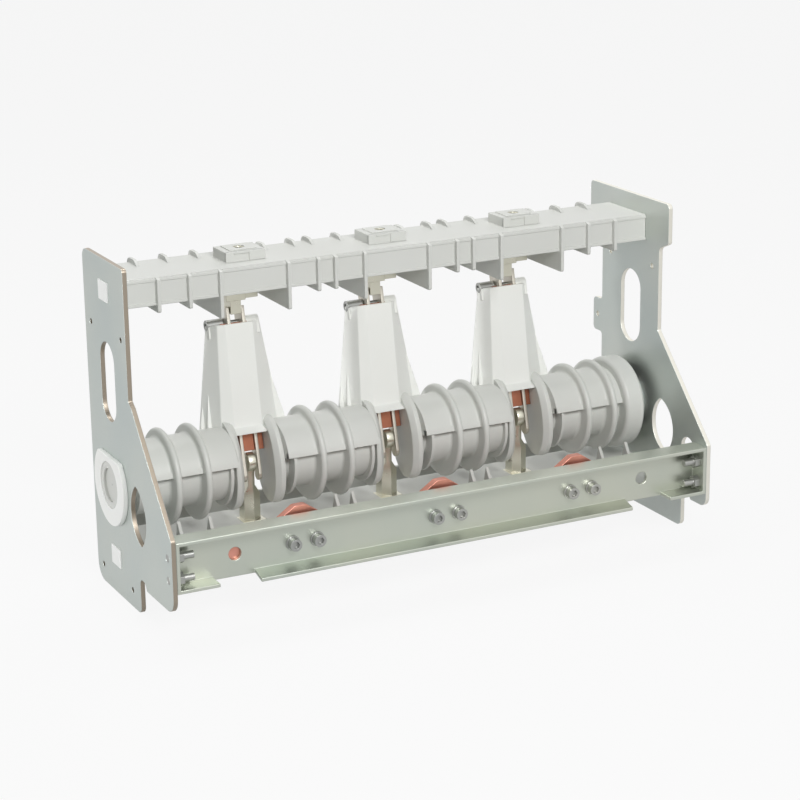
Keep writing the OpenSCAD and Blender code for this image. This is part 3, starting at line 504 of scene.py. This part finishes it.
# Contacts, blades and pins
# Silver-plated copper: fixed knives on the beams and blade pairs on the towers. A steel pin runs
# through each pair. The blades are flat outlines bridged to their thickness.
def silver_plating(name, colour, roughness):
    """Silver-plated copper, slightly yellowed, with soft hammering in its gloss."""
    finish = bpy.data.materials.new(name)
    finish.use_nodes = True
    nodes, links = finish.node_tree.nodes, finish.node_tree.links
    metal = nodes["Principled BSDF"]
    metal.inputs["Metallic"].default_value = 0.95
    metal.inputs["Base Color"].default_value = (*colour, 1.0)
    place = nodes.new("ShaderNodeTexCoord")
    cloud = nodes.new("ShaderNodeTexNoise")
    cloud.inputs["Scale"].default_value = 120.0
    links.new(place.outputs["Object"], cloud.inputs["Vector"])
    gloss = nodes.new("ShaderNodeMapRange")
    gloss.inputs["To Min"].default_value = roughness - 0.08
    gloss.inputs["To Max"].default_value = roughness + 0.08
    links.new(cloud.outputs["Fac"], gloss.inputs["Value"])
    links.new(gloss.outputs["Result"], metal.inputs["Roughness"])
    return finish


def pointed(half, back, shoulder, nose):
    """The outline of a post with a pointed front."""
    return [(-half, back), (-half, -shoulder), (0.0, -nose), (half, -shoulder), (half, back)]


contact_silver = silver_plating("contact_silver", (0.66, 0.645, 0.54), 0.30)
blade_silver = silver_plating("blade_silver", (0.60, 0.57, 0.50), 0.36)
CONTACT_EDGE, FOOT_EDGE, BLADE_EDGE, PIN_EDGE = 0.0005, 0.0004, 0.0005, 0.0003
FOOT_H, FOOT_TRIM, POST_SHOULDER, POST_TOP = 0.028, 0.0005, 0.066, 0.073
KNIFE_HALF, KNIFE_R, KNIFE_IN, KNIFE_CHAMFER, KNIFE_STEPS = 0.0034, 0.0080, 0.001, 0.0008, 48
BLADE_T, BLADE_IN, BLADE_R, BLADE_HEEL, BLADE_TOP, BLADE_NOSE = 0.003, 0.005, 0.005, 0.011, 0.127, 0.0115
BLADE_WIDENS, BLADE_WIDE = 0.030, 0.105
post = pointed(0.007, 0.008, 0.003, 0.007)
neck = pointed(0.0029, 0.006, 0.0025, 0.004)
heel = arc(0.0, -BLADE_HEEL, BLADE_R, 180.0, 360.0, 8)
edge = heel + [(BLADE_R, BLADE_TOP), (-BLADE_NOSE, BLADE_TOP), (-BLADE_NOSE, BLADE_WIDE),
               (-BLADE_R, BLADE_WIDENS)]
knife_side, knife_flat = KNIFE_R - KNIFE_CHAMFER, KNIFE_HALF - KNIFE_CHAMFER
low_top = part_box("lower_contact_1")[0].z + FOOT_H
levels = [(post, low_top), (post, POST_SHOULDER), (neck, POST_TOP), (neck, axis.z)]
for k, x in pole_x.items():
    upper = f"upper_contact_{k}"
    fitted(rounded_copy(upper, CONTACT_EDGE), upper + "_silver", "frame", "silver_contact", contact_silver,
           upper)
    lower = f"lower_contact_{k}"
    contact = rounded_copy(lower, FOOT_EDGE)
    bmesh.ops.bisect_plane(contact, geom=contact.verts[:] + contact.edges[:] + contact.faces[:], dist=1e-6,
                           plane_co=(0.0, 0.0, low_top + FOOT_TRIM), plane_no=(0.0, 0.0, 1.0),
                           clear_outer=True)
    bmesh.ops.holes_fill(contact, edges=[e for e in contact.edges if e.is_boundary], sides=0)
    bridged(contact, Matrix.Translation((x, axis.y, 0.0)),
            *([(px, py, z) for px, py in outline] for outline, z in levels))
    knife = [(-KNIFE_HALF, KNIFE_IN), (-KNIFE_HALF, knife_side), (-knife_flat, KNIFE_R),
             (knife_flat, KNIFE_R), (KNIFE_HALF, knife_side), (KNIFE_HALF, KNIFE_IN)]
    turned(contact, [(x + along, r) for along, r in knife], 0.0, FULL_TURN, KNIFE_STEPS)
    bmesh.ops.recalc_face_normals(contact, faces=contact.faces)
    fitted(contact, lower + "_silver", "frame", "silver_contact", contact_silver, lower)
    own = at_pole(x)
    for side, x0 in (("a", -BLADE_IN - BLADE_T), ("b", BLADE_IN)):
        node = f"blade_{k}{side}"
        blade = bmesh.new()
        bridged(blade, own, *([(px, py, pz) for py, pz in edge] for px in (x0, x0 + BLADE_T)))
        bmesh.ops.recalc_face_normals(blade, faces=blade.faces)
        fitted(eased(blade, BLADE_EDGE), node + "_silver", "rotor", "silver_contact", blade_silver, node)
    pin = f"blade_pin_{k}"
    fitted(rounded_copy(pin, PIN_EDGE), pin + "_steel", "rotor", "zinc_fastener", bolt_zinc, pin)

# Copper supports
# Bare copper strips carry the blades: across the top of the hub's arch, and as shims at the tower's top.
# The strips' copper is a darker copy of the earth bar's copper: painted shade in the hub's arch, and their
# lower part fills the shaded gap beside the knife.
shaded_blade_copper = bare_copper("shaded_blade_copper", (0.40, 0.16, 0.10), (0.27, 0.10, 0.055), 0.42)
STRIP_FRONT, STRIP_BACK, STRIP_LOW, STRIP_TOP, STRIP_HALF = -0.003, 0.001, 0.0090, 0.0232, 0.0130
SHIM_FRONT, SHIM_BACK, SHIM_LOW, SHIM_TOP = -0.0072, -0.0052, 0.1125, 0.1139
SHIM_LEFT, SHIM_RIGHT, SHIM_SLIT_OUT, SHIM_SLIT_IN = -0.0125, 0.0105, 0.0086, 0.0084
CLEAR, COPPER_EDGE = 0.0002, 0.0003
blade_in, blade_out = BLADE_IN - CLEAR, BLADE_IN + BLADE_T + CLEAR
strips = ((-STRIP_HALF, -blade_out), (-blade_in, blade_in), (blade_out, STRIP_HALF))
shims = ((SHIM_LEFT, -SHIM_SLIT_OUT), (-SHIM_SLIT_IN, SHIM_SLIT_IN), (SHIM_SLIT_OUT, SHIM_RIGHT))
for k, x in pole_x.items():
    own = at_pole(x)
    support = bmesh.new()
    for x0, x1 in strips:
        bar(support, (x0, STRIP_FRONT, STRIP_LOW), (x1, STRIP_BACK, STRIP_TOP), own)
    for x0, x1 in shims:
        bar(support, (x0, SHIM_FRONT, SHIM_LOW), (x1, SHIM_BACK, SHIM_TOP), own)
    eased(support, COPPER_EDGE)
    bmesh.ops.recalc_face_normals(support, faces=support.faces)
    fitted(support, f"blade_support_{k}", "rotor", "copper", shaded_blade_copper)

# Stage
# A pale floor that keeps the shadow, even white surroundings, and softboxes above the front, above
# the rear and low at the left. The camera stands at the photograph's place with a long lens.
floor_shape = bmesh.new()
bmesh.ops.create_grid(floor_shape, x_segments=1, y_segments=1, size=4.0)
floor_mesh = bpy.data.meshes.new("floor")
floor_shape.to_mesh(floor_mesh)
floor_shape.free()
floor = bpy.data.objects.new("floor", floor_mesh)
scene.collection.objects.link(floor)
pale = bpy.data.materials.new("pale_floor")
pale.use_nodes = True
nodes, links = pale.node_tree.nodes, pale.node_tree.links
paint = nodes["Principled BSDF"]
paint.inputs["Base Color"].default_value = (0.5, 0.5, 0.5, 1.0)
paint.inputs["Roughness"].default_value = 0.9
glow = nodes.new("ShaderNodeEmission")
rays = nodes.new("ShaderNodeLightPath")
share = nodes.new("ShaderNodeMath")
share.operation = "MULTIPLY"
share.inputs[1].default_value = 0.90
links.new(rays.outputs["Is Camera Ray"], share.inputs[0])
mirrored = nodes.new("ShaderNodeMath")
mirrored.operation = "MULTIPLY_ADD"
mirrored.inputs[1].default_value = 0.55
links.new(rays.outputs["Is Glossy Ray"], mirrored.inputs[0])
links.new(share.outputs["Value"], mirrored.inputs[2])
both = nodes.new("ShaderNodeMixShader")
links.new(mirrored.outputs["Value"], both.inputs["Fac"])
links.new(paint.outputs["BSDF"], both.inputs[1])
links.new(glow.outputs["Emission"], both.inputs[2])
links.new(both.outputs["Shader"], nodes["Material Output"].inputs["Surface"])
floor_mesh.materials.append(pale)

world = bpy.data.worlds.new("surroundings")
world.use_nodes = True
scene.world = world
nodes, links = world.node_tree.nodes, world.node_tree.links
air = nodes["Background"]
air.inputs["Color"].default_value = (1.0, 1.0, 1.0, 1.0)
rays = nodes.new("ShaderNodeLightPath")
seen = nodes.new("ShaderNodeMath")
seen.operation = "MAXIMUM"
links.new(rays.outputs["Is Camera Ray"], seen.inputs[0])
links.new(rays.outputs["Is Glossy Ray"], seen.inputs[1])
clear = nodes.new("ShaderNodeMath")
clear.operation = "MAXIMUM"
links.new(seen.outputs["Value"], clear.inputs[0])
links.new(rays.outputs["Is Transmission Ray"], clear.inputs[1])
level = nodes.new("ShaderNodeMapRange")
level.inputs["To Min"].default_value = 0.22
level.inputs["To Max"].default_value = 1.0
links.new(clear.outputs["Value"], level.inputs["Value"])
links.new(level.outputs["Result"], air.inputs["Strength"])

LAMP_AIM = Vector((0.0, 0.0, 0.15))
SOFTBOXES = {
    "key_softbox": (23.5, (0.8, 0.6), (-0.15, -1.57, 1.21)),
    "top_softbox": (11.0, (1.2, 0.6), (0.0, 0.55, 1.60)),
    "side_softbox": (12.5, (0.3, 0.3), (-1.90, 0.36, 0.26)),
}
for name, (power, size, place) in SOFTBOXES.items():
    lamp = bpy.data.lights.new(name, "AREA")
    lamp.energy = power
    lamp.shape = "RECTANGLE"
    lamp.size, lamp.size_y = size
    softbox = bpy.data.objects.new(name, lamp)
    softbox.location = place
    softbox.rotation_euler = (LAMP_AIM - softbox.location).to_track_quat("-Z", "Y").to_euler()
    scene.collection.objects.link(softbox)

FOCAL_PIXELS, PHOTO_PIXELS = 2317.0, 800.0
lens = bpy.data.cameras.new("camera")
lens.sensor_width = 36.0
lens.lens = lens.sensor_width * FOCAL_PIXELS / PHOTO_PIXELS
lens.clip_end = 20.0
camera = bpy.data.objects.new("camera", lens)
scene.collection.objects.link(camera)
yaw, pitch, roll = math.radians(26.70), math.radians(16.91), math.radians(-0.80)
level_aim = Matrix.Rotation(-yaw, 3, "Z") @ Matrix.Rotation(math.pi / 2 - pitch, 3, "X")
camera.rotation_euler = (level_aim @ Matrix.Rotation(roll, 3, "Z")).to_euler()
camera.location = (-0.8181, -1.6244, 0.6863)
scene.camera = camera
